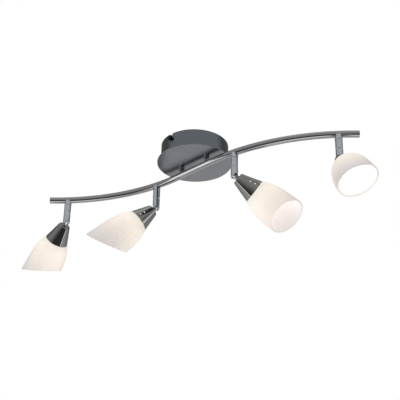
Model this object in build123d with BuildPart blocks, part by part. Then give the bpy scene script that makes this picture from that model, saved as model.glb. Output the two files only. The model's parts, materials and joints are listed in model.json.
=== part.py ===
from build123d import *

import os
from math import atan2, cos, degrees, radians, sin, tan

# A ceiling light for one room point: a round canopy carries an S-shaped tube on two short
# spacers, and four swivelling stems under the tube carry conical holders with opal glass
# shades whose mouths are cut at a slant. Millimetres. The origin is the canopy's centre on
# the ceiling, +Z is up, and +X runs along the chord from one end of the tube to the other.

# Canopy
cup_r = 60.5
cup_height = 33.4
cup_wall = 1.2
cup_corner = 1.6
notch_width = 8.0
notch_depth = 13.0
plate_r = 67.0
plate_thick = 1.6
plate_edge = 0.5

# Ceiling bracket inside the canopy
strap_width = 22.0
strap_thick = 1.5
flange_height = 17.0
flange_gap = 0.27  # from the flange's corners to the cup's inner wall
ceiling_hole_r = 2.6
ceiling_hole_pcd = 84.0
cable_hole_r = 6.0
fitting_reach = 21.0  # of the earth screw and the terminal block from the centre

# Side screws that hold the cup to the bracket
thumb_r = 4.5
thumb_length = 5.0
thumb_gap = 0.4
side_screw_r = 2.0
side_screw_tail = 3.0

# Terminal block and its screws
block_size = (18.0, 30.0, 14.0)  # along the strap, across it, and high
block_poles = 3
block_pitch = 9.5
block_screw_r = 1.6
block_screw_length = 3.0
block_screw_step = 4.5
block_wire_r = 1.7
earth_screw_r = 2.0
earth_head_r = 3.6
earth_head_height = 2.4

# Tube
tube_r = 6.0
tube_wall = 1.0
tube_half = 312.5  # developed half length, with the end plug's head
straight_half = 40.0
bend_r = 356.0
bar_drop = 12.0  # from the canopy's face to the tube's centre line
plug_head = 1.2
plug_edge = 0.4
plug_shank = 8.0
plug_gap = 0.12
lead_r = 0.9
lead_spread = 1.2

# Spacers and the hollow studs in them
spacer_reach = 31.0
spacer_r = 5.5
stud_r = 3.0
stud_bore_r = 1.9
stud_in_tube = 1.3
stud_above_nut = 4.0
washer_r = 7.0
washer_thick = 1.2
nut_flats = 10.0
nut_height = 5.0
hole_clear = 0.1

# Stem mounts on the tube, and the swivel inside the stems
lamp_pitch = 185.0
collar_r = 6.6
collar_top = 2.0  # below the tube's centre line, like the drops that follow
collar_drop = 11.5
spigot_r = 4.5
spigot_drop = 30.0
spigot_bore_r = 2.2
groove_drop = 25.0
groove_r = 3.3
groove_height = 3.2
swivel_clear = 0.08
swivel_gap = 0.3
grub_r = 2.0
grub_tip_r = 1.2
grub_seat_gap = 0.4  # from the spigot to where the grub screw's full thread starts
grub_tip_gap = 0.3  # from the groove's floor to the grub screw's tip
grub_key_r = 1.0
groove_margin = 24.0  # degrees of groove past the grub screw at each stop

# Stems and knuckles
stem_r = 6.3
pivot_drop = 46.6
stem_below_pivot = 4.3
stem_round = 3.0
lead_bore_r = 1.8
tongue_r = 4.2
tongue_thick = 4.6
slot_gap = 0.3
stop_gap = 0.5
pin_r = 1.5
pin_clear = 0.05
pin_head_r = 2.6
pin_head_height = 1.5
pin_inset = 0.6
pin_slot = 0.8

# Conical holders
cone_start = 7.0  # from the pivot, along the head's axis
cone_length = 36.2
cone_small_r = 10.4
cone_wide_r = 21.5
cone_wall = 1.0
cone_end_wall = 1.5
cone_shoulder = 2.6
shank_r = 4.0
shank_length = 6.0
vent_r = 1.2
vent_rows = 2
vent_turn = 90.0
vent_fractions = (0.55, 0.79)

# Lamp sockets, bulbs and the rings that hold the glass
socket_rear_r = 8.0
socket_side_gap = 1.58  # from the holder's inner wall to the edge of the socket's wide part
socket_r = 13.6
socket_nose = 7.0  # past the cone's wide end
recess_r = 7.6
recess_depth = 11.5
contact_r = 0.8
contact_depth = 6.5
contact_spread = 3.0
bulb_r = 6.6
bulb_length = 38.0
pinch_size = (10.6, 4.2, 7.6)
ring_r = 18.4
ring_height = 3.6
ring_notch = 3.0
ring_notches = 8

# Glass shades
glass_wall = 3.0
neck_r = 22.2
neck_round = 1.2
belly_r = 33.5
belly_at = 45.7  # from the neck's face
flare = 2.0
mouth_at = 69.8
mouth_slant = 33.8
glass_hole_clear = 0.8

# Each lamp: its place along the tube in pitches, the way its head points from above, its
# tilt from straight down, the turn of its glass, and how far the stem may swing each way
lamps = [
    {"pitches": -1.5, "pan": 149.0, "tilt": 54.5, "turn": -24.0, "swing": (-121.0, 149.0)},
    {"pitches": -0.5, "pan": -153.0, "tilt": 48.5, "turn": -52.0, "swing": (-180.0, 90.0)},
    {"pitches": 0.5, "pan": 44.0, "tilt": 58.0, "turn": -49.0, "swing": (-198.0, 72.0)},
    {"pitches": 1.5, "pan": -55.0, "tilt": 42.0, "turn": 32.0, "swing": (-76.0, 194.0)},
]

# Levels and lengths that follow from the sizes above
face_z = -(cup_height + plate_thick)
bar_z = face_z - bar_drop
floor_z = -cup_height + cup_wall
bend_turn = (tube_half - straight_half) / bend_r
middle_heading = -degrees(
    atan2(bend_r * (1 - cos(bend_turn)), straight_half + bend_r * sin(bend_turn))
)
bracket_heading = middle_heading + 90
cup_inner_r = cup_r - cup_wall
flange_reach = ((cup_inner_r - flange_gap) ** 2 - (strap_width / 2) ** 2) ** 0.5
side_screw_z = notch_width / 2 - notch_depth
slot_width = tongue_thick + 2 * slot_gap
slot_rise = tongue_r + stop_gap
stem_drop = pivot_drop + stem_below_pivot
grub_seat = spigot_r + grub_seat_gap
grub_reach = groove_r + grub_tip_gap
cone_end = cone_start + cone_length
cone_floor = cone_start + cone_end_wall
socket_front = cone_end + socket_nose
recess_floor = socket_front - recess_depth
cone_slope = (cone_wide_r - cone_small_r) / cone_length
cone_wall_out = cone_wall * (1 + cone_slope**2) ** 0.5  # the wall measured square to the axis
wide_part_r = socket_r + socket_side_gap + cone_wall_out
socket_step = cone_start + (wide_part_r - cone_small_r) / cone_slope

up = Vector(0, 0, 1)


def heading(angle):
    return Vector(cos(radians(angle)), sin(radians(angle)), 0)


def tube_place(distance):
    # Centre-line point and heading at a signed distance along the tube from its middle
    side = 1 if distance >= 0 else -1
    run = min(abs(distance), straight_half)
    swing = (abs(distance) - run) / bend_r
    ahead = heading(middle_heading) * (run + bend_r * sin(swing))
    aside = heading(middle_heading + 90) * (bend_r * (1 - cos(swing)))
    return (ahead + aside) * side + up * bar_z, middle_heading + degrees(swing)


def tube_path(half):
    # Arc, straight and arc, tangent to each other, from one end to the other
    start, start_heading = tube_place(-half)
    middle = heading(middle_heading) * straight_half
    arc_turn = degrees((half - straight_half) / bend_r)
    with BuildLine() as path:
        first = JernArc(start, heading(start_heading), bend_r, -arc_turn)
        middle_run = Line(first @ 1, middle + up * bar_z)
        JernArc(middle_run @ 1, heading(middle_heading), bend_r, arc_turn)
    return path.wires()[0], Plane(start, x_dir=up, z_dir=heading(start_heading))


def save(part, name):
    part.label = name
    export_step(part, f"parts/{name}.step")


def make_canopy():
    with BuildPart() as canopy_cup:
        with BuildSketch(Plane.XY.offset(-cup_height)):
            Circle(cup_r)
        extrude(amount=cup_height)
        fillet(canopy_cup.edges().sort_by(Axis.Z)[0], cup_corner)
        with BuildSketch(Plane.XY.offset(floor_z)):
            Circle(cup_inner_r)
        extrude(amount=-floor_z, mode=Mode.SUBTRACT)
        with BuildSketch(Plane(origin=(0, 0, 0), x_dir=up, z_dir=heading(bracket_heading))):
            with Locations((side_screw_z, 0)):
                Circle(notch_width / 2)
            with Locations((side_screw_z, 0)):
                Rectangle(-side_screw_z, notch_width, align=(Align.MIN, Align.CENTER))
        extrude(amount=cup_r + 1, both=True, mode=Mode.SUBTRACT)
        with BuildSketch(Plane.XY.offset(-cup_height)):
            with Locations(*spacer_spots()):
                Circle(stud_r + hole_clear)
        extrude(amount=cup_wall, mode=Mode.SUBTRACT)
    save(canopy_cup.part, "canopy_cup")

    with BuildPart() as canopy_plate:
        with BuildSketch(Plane.XY.offset(face_z)):
            Circle(plate_r)
            with Locations(*spacer_spots()):
                Circle(stud_r + hole_clear, mode=Mode.SUBTRACT)
        extrude(amount=plate_thick)
        rims = canopy_plate.edges().filter_by(GeomType.CIRCLE).sort_by(SortBy.RADIUS)[-2:]
        fillet(rims, plate_edge)
    save(canopy_plate.part, "canopy_plate")


def spacer_spots():
    spots = [tube_place(side * spacer_reach)[0] for side in (-1, 1)]
    return [(spot.X, spot.Y) for spot in spots]


def strap_plane(reach, z):
    # Faces down, with its own x along the strap
    return Plane(
        origin=heading(bracket_heading) * reach + up * z,
        x_dir=heading(bracket_heading),
        z_dir=-up,
    )


def make_bracket():
    with BuildPart() as ceiling_bracket:
        with BuildSketch(strap_plane(0, 0)):
            Rectangle(2 * flange_reach, strap_width)
        extrude(amount=strap_thick)
        with BuildSketch(strap_plane(0, 0)):
            with Locations((-flange_reach, 0), (flange_reach - strap_thick, 0)):
                Rectangle(strap_thick, strap_width, align=(Align.MIN, Align.CENTER))
        extrude(amount=flange_height)
        with BuildSketch(strap_plane(0, 0)):
            Circle(cable_hole_r)
            with Locations((ceiling_hole_pcd / 2, 0), (-ceiling_hole_pcd / 2, 0)):
                Circle(ceiling_hole_r)
            with Locations((-fitting_reach, 0)):
                Circle(earth_screw_r)
        extrude(amount=strap_thick, mode=Mode.SUBTRACT)
        with BuildSketch(side_screw_plane(1, 0)):
            Circle(side_screw_r)
        extrude(amount=flange_reach + 1, both=True, mode=Mode.SUBTRACT)
    save(ceiling_bracket.part, "ceiling_bracket")

    with BuildPart() as side_screws:
        for side in (-1, 1):
            tail = flange_reach - strap_thick - side_screw_tail
            with BuildSketch(side_screw_plane(side, tail)):
                Circle(side_screw_r)
            extrude(amount=cup_r + thumb_gap - tail)
            with BuildSketch(side_screw_plane(side, cup_r + thumb_gap)):
                Circle(thumb_r)
            extrude(amount=thumb_length)
    save(side_screws.part, "side_screws")

    with BuildPart() as earth_screw:
        with BuildSketch(strap_plane(-fitting_reach, 0)):
            Circle(earth_screw_r)
        extrude(amount=strap_thick)
        with BuildSketch(strap_plane(-fitting_reach, -strap_thick)):
            Circle(earth_head_r)
        extrude(amount=earth_head_height)
        chamfer(earth_screw.edges().sort_by(Axis.Z)[0], plug_edge)
        with BuildSketch(strap_plane(-fitting_reach, -strap_thick - earth_head_height)):
            Rectangle(2 * earth_head_r, pin_slot)
        extrude(amount=-pin_slot, mode=Mode.SUBTRACT)
    save(earth_screw.part, "earth_screw")


def side_screw_plane(side, reach):
    outward = heading(bracket_heading) * side
    return Plane(outward * reach + up * side_screw_z, x_dir=up, z_dir=outward)


def make_terminals():
    along, across, high = block_size
    bottom = -strap_thick - high
    rows = [(k - (block_poles - 1) / 2) * block_pitch for k in range(block_poles)]
    spots = [(side * block_screw_step, row) for row in rows for side in (-1, 1)]
    with BuildPart() as terminal_block:
        with BuildSketch(strap_plane(fitting_reach, -strap_thick)):
            Rectangle(along, across)
        extrude(amount=high)
        channel = Plane(
            origin=strap_plane(fitting_reach, -strap_thick - high / 2).origin,
            x_dir=heading(bracket_heading + 90),
            z_dir=heading(bracket_heading),
        )
        with BuildSketch(channel):
            with Locations(*[(row, 0) for row in rows]):
                Circle(block_wire_r)
        extrude(amount=along, both=True, mode=Mode.SUBTRACT)
        with BuildSketch(strap_plane(fitting_reach, bottom)):
            with Locations(*spots):
                Circle(block_screw_r)
        extrude(amount=-block_screw_length - 1, mode=Mode.SUBTRACT)
    save(terminal_block.part, "terminal_block")

    with BuildPart() as terminal_screws:
        with BuildSketch(strap_plane(fitting_reach, bottom + 1)):
            with Locations(*spots):
                Circle(block_screw_r)
        extrude(amount=-block_screw_length)
        with BuildSketch(strap_plane(fitting_reach, bottom + 1)):
            with Locations(*spots):
                Rectangle(2 * block_screw_r, pin_slot)
        extrude(amount=-pin_slot, mode=Mode.SUBTRACT)
    save(terminal_screws.part, "terminal_screws")


def make_hangers():
    spots = spacer_spots()
    nut_z = floor_z + washer_thick
    stud_low = bar_z + tube_r - tube_wall - stud_in_tube
    stud_high = nut_z + nut_height + stud_above_nut
    with BuildPart() as hanger_studs:
        with BuildSketch(Plane.XY.offset(stud_low)):
            with Locations(*spots):
                Circle(stud_r)
                Circle(stud_bore_r, mode=Mode.SUBTRACT)
        extrude(amount=stud_high - stud_low)
    save(hanger_studs.part, "hanger_studs")

    with BuildPart() as hanger_washers:
        with BuildSketch(Plane.XY.offset(floor_z)):
            with Locations(*spots):
                Circle(washer_r)
                Circle(stud_r + hole_clear, mode=Mode.SUBTRACT)
        extrude(amount=washer_thick)
    save(hanger_washers.part, "hanger_washers")

    with BuildPart() as hanger_nuts:
        with BuildSketch(Plane.XY.offset(nut_z)):
            with Locations(*spots):
                RegularPolygon(nut_flats / 2, 6, major_radius=False)
                Circle(stud_r, mode=Mode.SUBTRACT)
        extrude(amount=nut_height)
    save(hanger_nuts.part, "hanger_nuts")

    for name, spot in zip(("spacer_left", "spacer_right"), spots):
        with BuildPart() as spacer:
            with BuildSketch(Plane(origin=(*spot, bar_z))):
                Circle(spacer_r)
                Circle(stud_r + hole_clear, mode=Mode.SUBTRACT)
            extrude(amount=bar_drop)
            saddle = Plane((*spot, bar_z), x_dir=up, z_dir=heading(middle_heading))
            with BuildSketch(saddle):
                Circle(tube_r)
            extrude(amount=2 * spacer_r, both=True, mode=Mode.SUBTRACT)
        save(spacer.part, name)


def make_tube():
    path, start = tube_path(tube_half - plug_head)
    with BuildPart() as rod:
        with BuildSketch(start):
            Circle(tube_r)
        sweep(path=path)

    with BuildPart() as bar_tube:
        with BuildSketch(start):
            Circle(tube_r)
            Circle(tube_r - tube_wall, mode=Mode.SUBTRACT)
        sweep(path=path)
        with BuildSketch(Plane.XY.offset(bar_z)):
            with Locations(*spacer_spots()):
                Circle(stud_r)
        extrude(amount=tube_r + 1, mode=Mode.SUBTRACT)
        for lamp in lamps:
            spot = tube_place(lamp["pitches"] * lamp_pitch)[0]
            with BuildSketch(Plane(origin=spot)):
                Circle(spigot_bore_r)
            extrude(amount=-tube_r - 1, mode=Mode.SUBTRACT)
    save(bar_tube.part, "bar_tube")

    for name, side in (("end_plug_left", -1), ("end_plug_right", 1)):
        spot, angle = tube_place(side * (tube_half - plug_head))
        outward = heading(angle) * side
        with BuildPart() as end_plug:
            with BuildSketch(Plane(spot, x_dir=up, z_dir=outward)):
                Circle(tube_r)
            extrude(amount=plug_head)
            chamfer(end_plug.edges().sort_by(Axis(spot, outward))[-1], plug_edge)
            with BuildSketch(Plane(spot, x_dir=up, z_dir=outward)):
                Circle(tube_r - tube_wall - plug_gap)
            extrude(amount=-plug_shank)
        save(end_plug.part, name)

    lead_path, lead_start = tube_path(1.5 * lamp_pitch)
    with BuildPart() as bar_leads:
        with BuildSketch(lead_start):
            with Locations((-lead_spread, lead_spread), (-lead_spread, -lead_spread)):
                Circle(lead_r)
        sweep(path=lead_path)
    save(bar_leads.part, "bar_leads")
    return rod.part


def lamp_frame(lamp):
    # The lamp's spot on the tube, the way it points from above, its pivot, the pivot's
    # axis, the head's axis and the upper side of the head
    spot = tube_place(lamp["pitches"] * lamp_pitch)[0]
    outward = heading(lamp["pan"])
    pivot_axis = heading(lamp["pan"] - 90)
    tilt = radians(lamp["tilt"])
    axis = outward * sin(tilt) - up * cos(tilt)
    upper = outward * cos(tilt) + up * sin(tilt)
    return spot, outward, spot - up * pivot_drop, pivot_axis, axis, upper


def make_stem_mount(number, lamp, rod):
    spot = lamp_frame(lamp)[0]
    low, high = lamp["swing"]
    groove_start = lamp["pan"] + 180 + low - groove_margin
    with BuildPart() as stem_mount:
        with BuildSketch(Plane(origin=spot - up * collar_drop)):
            Circle(collar_r)
        extrude(amount=collar_drop - collar_top)
        add(rod, mode=Mode.SUBTRACT)
        with BuildSketch(Plane(origin=spot - up * spigot_drop)):
            Circle(spigot_r)
        extrude(amount=spigot_drop - collar_drop)
        with BuildSketch(Plane(origin=spot - up * spigot_drop)):
            Circle(spigot_bore_r)
        extrude(amount=spigot_drop, mode=Mode.SUBTRACT)
        ring_start = heading(groove_start)
        across = Plane(spot - up * groove_drop, x_dir=ring_start, z_dir=heading(groove_start - 90))
        with BuildSketch(across):
            with Locations((groove_r, 0)):
                Rectangle(spigot_r, groove_height, align=(Align.MIN, Align.CENTER))
        revolve(
            axis=Axis(spot, up),
            revolution_arc=high - low + 2 * groove_margin,
            mode=Mode.SUBTRACT,
        )
    save(stem_mount.part, f"stem_mount_{number}")


def make_stem(number, lamp):
    spot, outward, pivot, pivot_axis = lamp_frame(lamp)[:4]
    top_drop = collar_drop + swivel_gap
    bore_drop = spigot_drop + swivel_gap
    grub_plane = Plane(spot - up * groove_drop, x_dir=up, z_dir=-outward)
    pin_plane = Plane(pivot, x_dir=up, z_dir=pivot_axis)
    head_base = stem_r - pin_inset - pin_head_height
    with BuildPart() as stem:
        with BuildSketch(Plane(origin=spot - up * stem_drop)):
            Circle(stem_r)
        extrude(amount=stem_drop - top_drop)
        fillet(stem.edges().sort_by(Axis.Z)[0], stem_round)
        with BuildSketch(Plane(origin=spot - up * top_drop)):
            Circle(spigot_r + swivel_clear)
        extrude(amount=top_drop - bore_drop, mode=Mode.SUBTRACT)
        with BuildSketch(Plane(origin=spot - up * bore_drop)):
            Circle(lead_bore_r)
        extrude(amount=bore_drop - pivot_drop, mode=Mode.SUBTRACT)
        slot_corner = pivot - outward * slot_rise + up * slot_rise
        with BuildSketch(Plane(slot_corner, x_dir=outward, z_dir=-up)):
            Rectangle(3 * stem_r, slot_width, align=(Align.MIN, Align.CENTER))
        extrude(amount=slot_rise + 2 * stem_below_pivot, mode=Mode.SUBTRACT)
        with BuildSketch(grub_plane):
            Circle(grub_r)
        extrude(amount=stem_r + 1, mode=Mode.SUBTRACT)
        with BuildSketch(pin_plane):
            Circle(pin_r)
        extrude(amount=stem_r + 1, both=True, mode=Mode.SUBTRACT)
        with BuildSketch(pin_plane.offset(head_base)):
            Circle(pin_head_r)
        extrude(amount=stem_r, mode=Mode.SUBTRACT)
    save(stem.part, f"stem_{number}")

    with BuildPart() as grub_screw:
        with BuildSketch(grub_plane.offset(grub_seat)):
            Circle(grub_r)
        extrude(amount=stem_r - pin_inset - grub_seat)
        with BuildSketch(grub_plane.offset(grub_reach)):
            Circle(grub_tip_r)
        extrude(amount=grub_seat - grub_reach)
        with BuildSketch(grub_plane.offset(stem_r - pin_inset)):
            RegularPolygon(grub_key_r, 6)
        extrude(amount=-pin_inset, mode=Mode.SUBTRACT)
    save(grub_screw.part, f"grub_screw_{number}")

    with BuildPart() as pivot_screw:
        with BuildSketch(pin_plane.offset(-stem_r + pin_inset)):
            Circle(pin_r)
        extrude(amount=stem_r - pin_inset + head_base)
        with BuildSketch(pin_plane.offset(head_base)):
            Circle(pin_head_r)
        extrude(amount=pin_head_height)
        with BuildSketch(pin_plane.offset(head_base + pin_head_height)):
            Rectangle(2 * pin_head_r, pin_slot)
        extrude(amount=-pin_slot, mode=Mode.SUBTRACT)
    save(pivot_screw.part, f"pivot_screw_{number}")


def make_head(number, lamp):
    pivot, pivot_axis, axis, upper = lamp_frame(lamp)[2:]
    lug = Plane(pivot, x_dir=axis, z_dir=pivot_axis)  # its y is the upper side
    section = Plane(pivot, x_dir=upper, z_dir=upper.cross(axis))  # x out, y along the axis
    spin = Axis(pivot, axis)

    def across(distance):
        return Plane(pivot + axis * distance, x_dir=upper, z_dir=axis)

    with BuildPart() as knuckle_tongue:
        with BuildSketch(lug):
            Circle(tongue_r)
            Rectangle(cone_start, 2 * tongue_r, align=(Align.MIN, Align.CENTER))
            Circle(pin_r + pin_clear, mode=Mode.SUBTRACT)
        extrude(amount=tongue_thick / 2, both=True)
        with BuildSketch(across(cone_start)):
            Circle(shank_r)
        extrude(amount=cone_end_wall + shank_length)
    save(knuckle_tongue.part, f"knuckle_tongue_{number}")

    inner_small = cone_small_r + cone_slope * cone_end_wall - cone_wall_out
    with BuildPart() as cone_holder:
        with BuildSketch(section) as cone_face:
            with BuildLine():
                Polyline(
                    (shank_r + hole_clear, cone_start),
                    (cone_small_r, cone_start),
                    (cone_wide_r, cone_end),
                    (cone_wide_r - cone_wall_out, cone_end),
                    (inner_small, cone_floor),
                    (shank_r + hole_clear, cone_floor),
                    close=True,
                )
            make_face()
            corners = cone_face.vertices()
            fillet(corners.sort_by_distance((cone_small_r, cone_start))[0], cone_shoulder)
            corners = cone_face.vertices()
            inner_round = cone_shoulder - cone_wall
            fillet(corners.sort_by_distance((inner_small, cone_floor))[0], inner_round)
        revolve(axis=spin)
        for row in range(vent_rows):
            side = upper.rotate(Axis((0, 0, 0), axis), vent_turn + row * 360 / vent_rows)
            for fraction in vent_fractions:
                along = pivot + axis * (cone_start + fraction * cone_length)
                with BuildSketch(Plane(along, x_dir=axis, z_dir=side)):
                    Circle(vent_r)
                extrude(amount=cone_wide_r + 1, mode=Mode.SUBTRACT)
    save(cone_holder.part, f"cone_holder_{number}")

    with BuildPart() as lamp_socket:
        with BuildSketch(across(cone_floor)):
            Circle(socket_rear_r)
        extrude(amount=socket_step - cone_floor)
        with BuildSketch(across(socket_step)):
            Circle(socket_r)
        extrude(amount=socket_front - socket_step)
        with BuildSketch(across(cone_floor)):
            Circle(shank_r)
        extrude(amount=shank_length, mode=Mode.SUBTRACT)
        with BuildSketch(across(recess_floor)):
            Circle(recess_r)
        extrude(amount=recess_depth, mode=Mode.SUBTRACT)
        with BuildSketch(across(recess_floor)):
            with Locations((contact_spread, 0), (-contact_spread, 0)):
                Circle(contact_r)
        extrude(amount=-contact_depth, mode=Mode.SUBTRACT)
    save(lamp_socket.part, f"lamp_socket_{number}")

    bulb_start = recess_floor + pinch_size[2]
    with BuildPart() as bulb:
        with BuildSketch(across(recess_floor)):
            Rectangle(pinch_size[0], pinch_size[1])
        extrude(amount=pinch_size[2])
        with BuildSketch(across(bulb_start)):
            Circle(bulb_r)
        extrude(amount=bulb_length)
        tip = Axis(pivot, axis)
        fillet(bulb.edges().filter_by(GeomType.CIRCLE).sort_by(tip)[-1], bulb_r * 0.7)
        with BuildSketch(across(recess_floor)):
            with Locations((contact_spread, 0), (-contact_spread, 0)):
                Circle(contact_r)
        extrude(amount=-contact_depth + 1)
    save(bulb.part, f"bulb_{number}")

    with BuildPart() as retaining_ring:
        with BuildSketch(across(cone_end + glass_wall)):
            Circle(ring_r)
            Circle(socket_r, mode=Mode.SUBTRACT)
            with PolarLocations(ring_r, ring_notches):
                Rectangle(ring_notch, ring_notch, mode=Mode.SUBTRACT)
        extrude(amount=ring_height)
    save(retaining_ring.part, f"retaining_ring_{number}")


def make_glass(number, lamp):
    # The outline swells from the neck on one arc, then runs out in a slightly flared line
    pivot, _, axis, upper = lamp_frame(lamp)[2:]
    neck = pivot + axis * cone_end
    long_side = upper.rotate(Axis((0, 0, 0), axis), lamp["turn"])
    section = Plane(neck, x_dir=long_side, z_dir=long_side.cross(axis))
    lean = radians(flare)
    swell = belly_r - neck_r
    arc_r = (swell**2 + belly_at**2) / (2 * (swell * cos(lean) - belly_at * sin(lean)))
    centre = (belly_r - arc_r * cos(lean), belly_at + arc_r * sin(lean))
    reach = mouth_at + 2 * belly_r * tan(radians(mouth_slant))

    def outline(inset, start, end):
        # Where a half section begins, joins its straight run and ends, inset from outside
        radius = arc_r - inset
        begin = centre[0] + (radius**2 - (start - centre[1]) ** 2) ** 0.5
        joint = (centre[0] + radius * cos(lean), centre[1] - radius * sin(lean))
        last = joint[0] + (end - joint[1]) * tan(lean)
        return (begin, start), joint, (last, end)

    hole_r = socket_r + glass_hole_clear
    mouth_normal = axis - long_side * tan(radians(mouth_slant))
    mouth = Plane(neck + axis * mouth_at, x_dir=section.z_dir, z_dir=mouth_normal)
    with BuildPart() as glass_shade:
        for inset, mode in ((0, Mode.ADD), (glass_wall, Mode.SUBTRACT)):
            begin, joint, last = outline(inset, inset, reach + inset)
            with BuildSketch(section):
                with BuildLine():
                    TangentArc(joint, begin, tangent=(-sin(lean), -cos(lean)))
                    Polyline(joint, last, (0, last[1]), (0, begin[1]), begin)
                make_face()
            revolve(axis=Axis(neck, axis), mode=mode)
        with BuildSketch(Plane(neck, x_dir=long_side, z_dir=axis)):
            Circle(hole_r)
        extrude(amount=glass_wall, mode=Mode.SUBTRACT)
        split(bisect_by=mouth, keep=Keep.BOTTOM)
        circles = glass_shade.edges().filter_by(GeomType.CIRCLE)
        fillet([edge for edge in circles if abs(edge.radius - neck_r) < 0.01], neck_round)
    save(glass_shade.part, f"glass_shade_{number}")


os.makedirs("parts", exist_ok=True)
make_canopy()
make_bracket()
make_terminals()
make_hangers()
bar_rod = make_tube()
for lamp_number, lamp_sizes in enumerate(lamps, start=1):
    make_stem_mount(lamp_number, lamp_sizes, bar_rod)
    make_stem(lamp_number, lamp_sizes)
    make_head(lamp_number, lamp_sizes)
    make_glass(lamp_number, lamp_sizes)
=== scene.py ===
import json
from math import acos, atan2, cos, pi, radians, sin, sqrt, tan

import bmesh
import bpy
from mathutils import Matrix, Vector

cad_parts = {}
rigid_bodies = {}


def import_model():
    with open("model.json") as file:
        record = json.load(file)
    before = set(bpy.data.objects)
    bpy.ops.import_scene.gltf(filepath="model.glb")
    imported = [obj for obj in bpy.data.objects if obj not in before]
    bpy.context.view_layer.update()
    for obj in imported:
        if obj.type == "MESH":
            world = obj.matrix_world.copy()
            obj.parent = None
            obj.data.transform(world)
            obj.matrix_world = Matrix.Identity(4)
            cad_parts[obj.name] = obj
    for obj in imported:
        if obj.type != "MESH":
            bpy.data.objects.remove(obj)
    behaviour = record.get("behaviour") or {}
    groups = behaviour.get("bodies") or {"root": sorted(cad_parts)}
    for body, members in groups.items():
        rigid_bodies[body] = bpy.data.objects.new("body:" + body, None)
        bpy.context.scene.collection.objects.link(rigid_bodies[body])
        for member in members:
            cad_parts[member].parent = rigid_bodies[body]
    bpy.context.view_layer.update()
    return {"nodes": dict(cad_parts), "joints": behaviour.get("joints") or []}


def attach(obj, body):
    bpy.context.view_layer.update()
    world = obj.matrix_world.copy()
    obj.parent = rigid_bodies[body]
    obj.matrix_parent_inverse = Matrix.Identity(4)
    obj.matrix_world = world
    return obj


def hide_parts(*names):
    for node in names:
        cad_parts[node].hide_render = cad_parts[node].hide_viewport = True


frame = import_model()
print("frame loaded:", len(frame["nodes"]), "nodes")

mm = 0.001
up = Vector((0, 0, 1))
scene = bpy.context.scene
joints = {joint["name"]: joint for joint in frame["joints"]}
rootBody = frame["joints"][0]["parent"]
lampNumbers = [1, 2, 3, 4]

# small tools for meshes


def roundOutline(corners, steps=6):
    # corners are (x, y) or (x, y, round), a closed loop
    points = []
    for k, corner in enumerate(corners):
        here = Vector(corner[:2])
        size = corner[2] if len(corner) > 2 else 0
        if not size:
            points.append(tuple(here))
            continue
        before = (Vector(corners[k - 1][:2]) - here).normalized()
        after = (Vector(corners[(k + 1) % len(corners)][:2]) - here).normalized()
        half = acos(max(-1, min(1, before.dot(after)))) / 2
        centre = here + (before + after).normalized() * size / sin(half)
        start = here + before * size / tan(half) - centre
        stop = here + after * size / tan(half) - centre
        turn = start.angle(stop)
        for n in range(steps + 1):
            share = n / steps
            spoke = (start * sin((1 - share) * turn) + stop * sin(share * turn)) / sin(turn)
            points.append(tuple(centre + spoke))
    return points


def inMetres(corners):
    return [tuple(value * mm for value in corner) for corner in corners]


def lathe(corners, turns=96, steps=6):
    # spins a closed outline of (radius, height) corners about the local Z axis
    shape = bmesh.new()
    rings = []
    for radius, height in roundOutline(corners, steps):
        count = turns if radius > 1e-7 else 1
        rings.append([
            shape.verts.new((radius * cos(2 * pi * n / turns), radius * sin(2 * pi * n / turns), height))
            for n in range(count)
        ])
    joinRings(shape, rings)
    return shape


def joinRings(shape, rings):
    # closed rings, each joined to the next and the last to the first
    for lower, upper in zip(rings, rings[1:] + rings[:1]):
        turns = max(len(lower), len(upper))
        if min(len(lower), len(upper)) == turns == 1:
            continue
        for n in range(turns):
            loop = [lower[n % len(lower)], lower[(n + 1) % len(lower)]]
            loop += [upper[(n + 1) % len(upper)], upper[n % len(upper)]]
            corners = list(dict.fromkeys(loop))
            if len(corners) > 2:
                shape.faces.new(corners)
    bmesh.ops.recalc_face_normals(shape, faces=shape.faces)


def slab(outline, low, high):
    # a closed outline in local X and Z, from low to high along local Y
    shape = bmesh.new()
    rings = [[shape.verts.new((x, y, z)) for x, z in outline] for y in (low, high)]
    for ring in rings:
        shape.faces.new(ring)
    count = len(outline)
    for n in range(count):
        m = (n + 1) % count
        shape.faces.new((rings[0][n], rings[0][m], rings[1][m], rings[1][n]))
    bmesh.ops.recalc_face_normals(shape, faces=shape.faces)
    return shape


def block(low, high):
    shape = bmesh.new()
    bmesh.ops.create_cube(shape, size=1)
    size = Vector(high) - Vector(low)
    middle = (Vector(high) + Vector(low)) / 2
    bmesh.ops.transform(shape, matrix=Matrix.Translation(middle) @ Matrix.Diagonal((*size, 1)), verts=shape.verts)
    return shape


def rod(radius, low, high, direction=(0, 0, 1), centre=(0, 0, 0), turns=48):
    shape = lathe([(0, low), (radius, low), (radius, high), (0, high)], turns)
    turn = Vector((0, 0, 1)).rotation_difference(Vector(direction)).to_matrix().to_4x4()
    bmesh.ops.transform(shape, matrix=Matrix.Translation(Vector(centre)) @ turn, verts=shape.verts)
    return shape


def newObject(name, shape):
    mesh = bpy.data.meshes.new(name)
    shape.to_mesh(mesh)
    shape.free()
    made = bpy.data.objects.new(name, mesh)
    scene.collection.objects.link(made)
    return made


def settle(made):
    # turns live modifiers into a plain mesh
    bpy.context.view_layer.update()
    evaluated = made.evaluated_get(bpy.context.evaluated_depsgraph_get())
    mesh = bpy.data.meshes.new_from_object(evaluated)
    made.modifiers.clear()
    made.data = mesh
    return made


def cut(made, *cutters):
    for shape in cutters:
        cutter = newObject("cutter", shape)
        modifier = made.modifiers.new("cut", "BOOLEAN")
        modifier.operation = "DIFFERENCE"
        modifier.solver = "EXACT"
        modifier.object = cutter
        settle(made)
        bpy.data.objects.remove(cutter)
    return made


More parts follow.
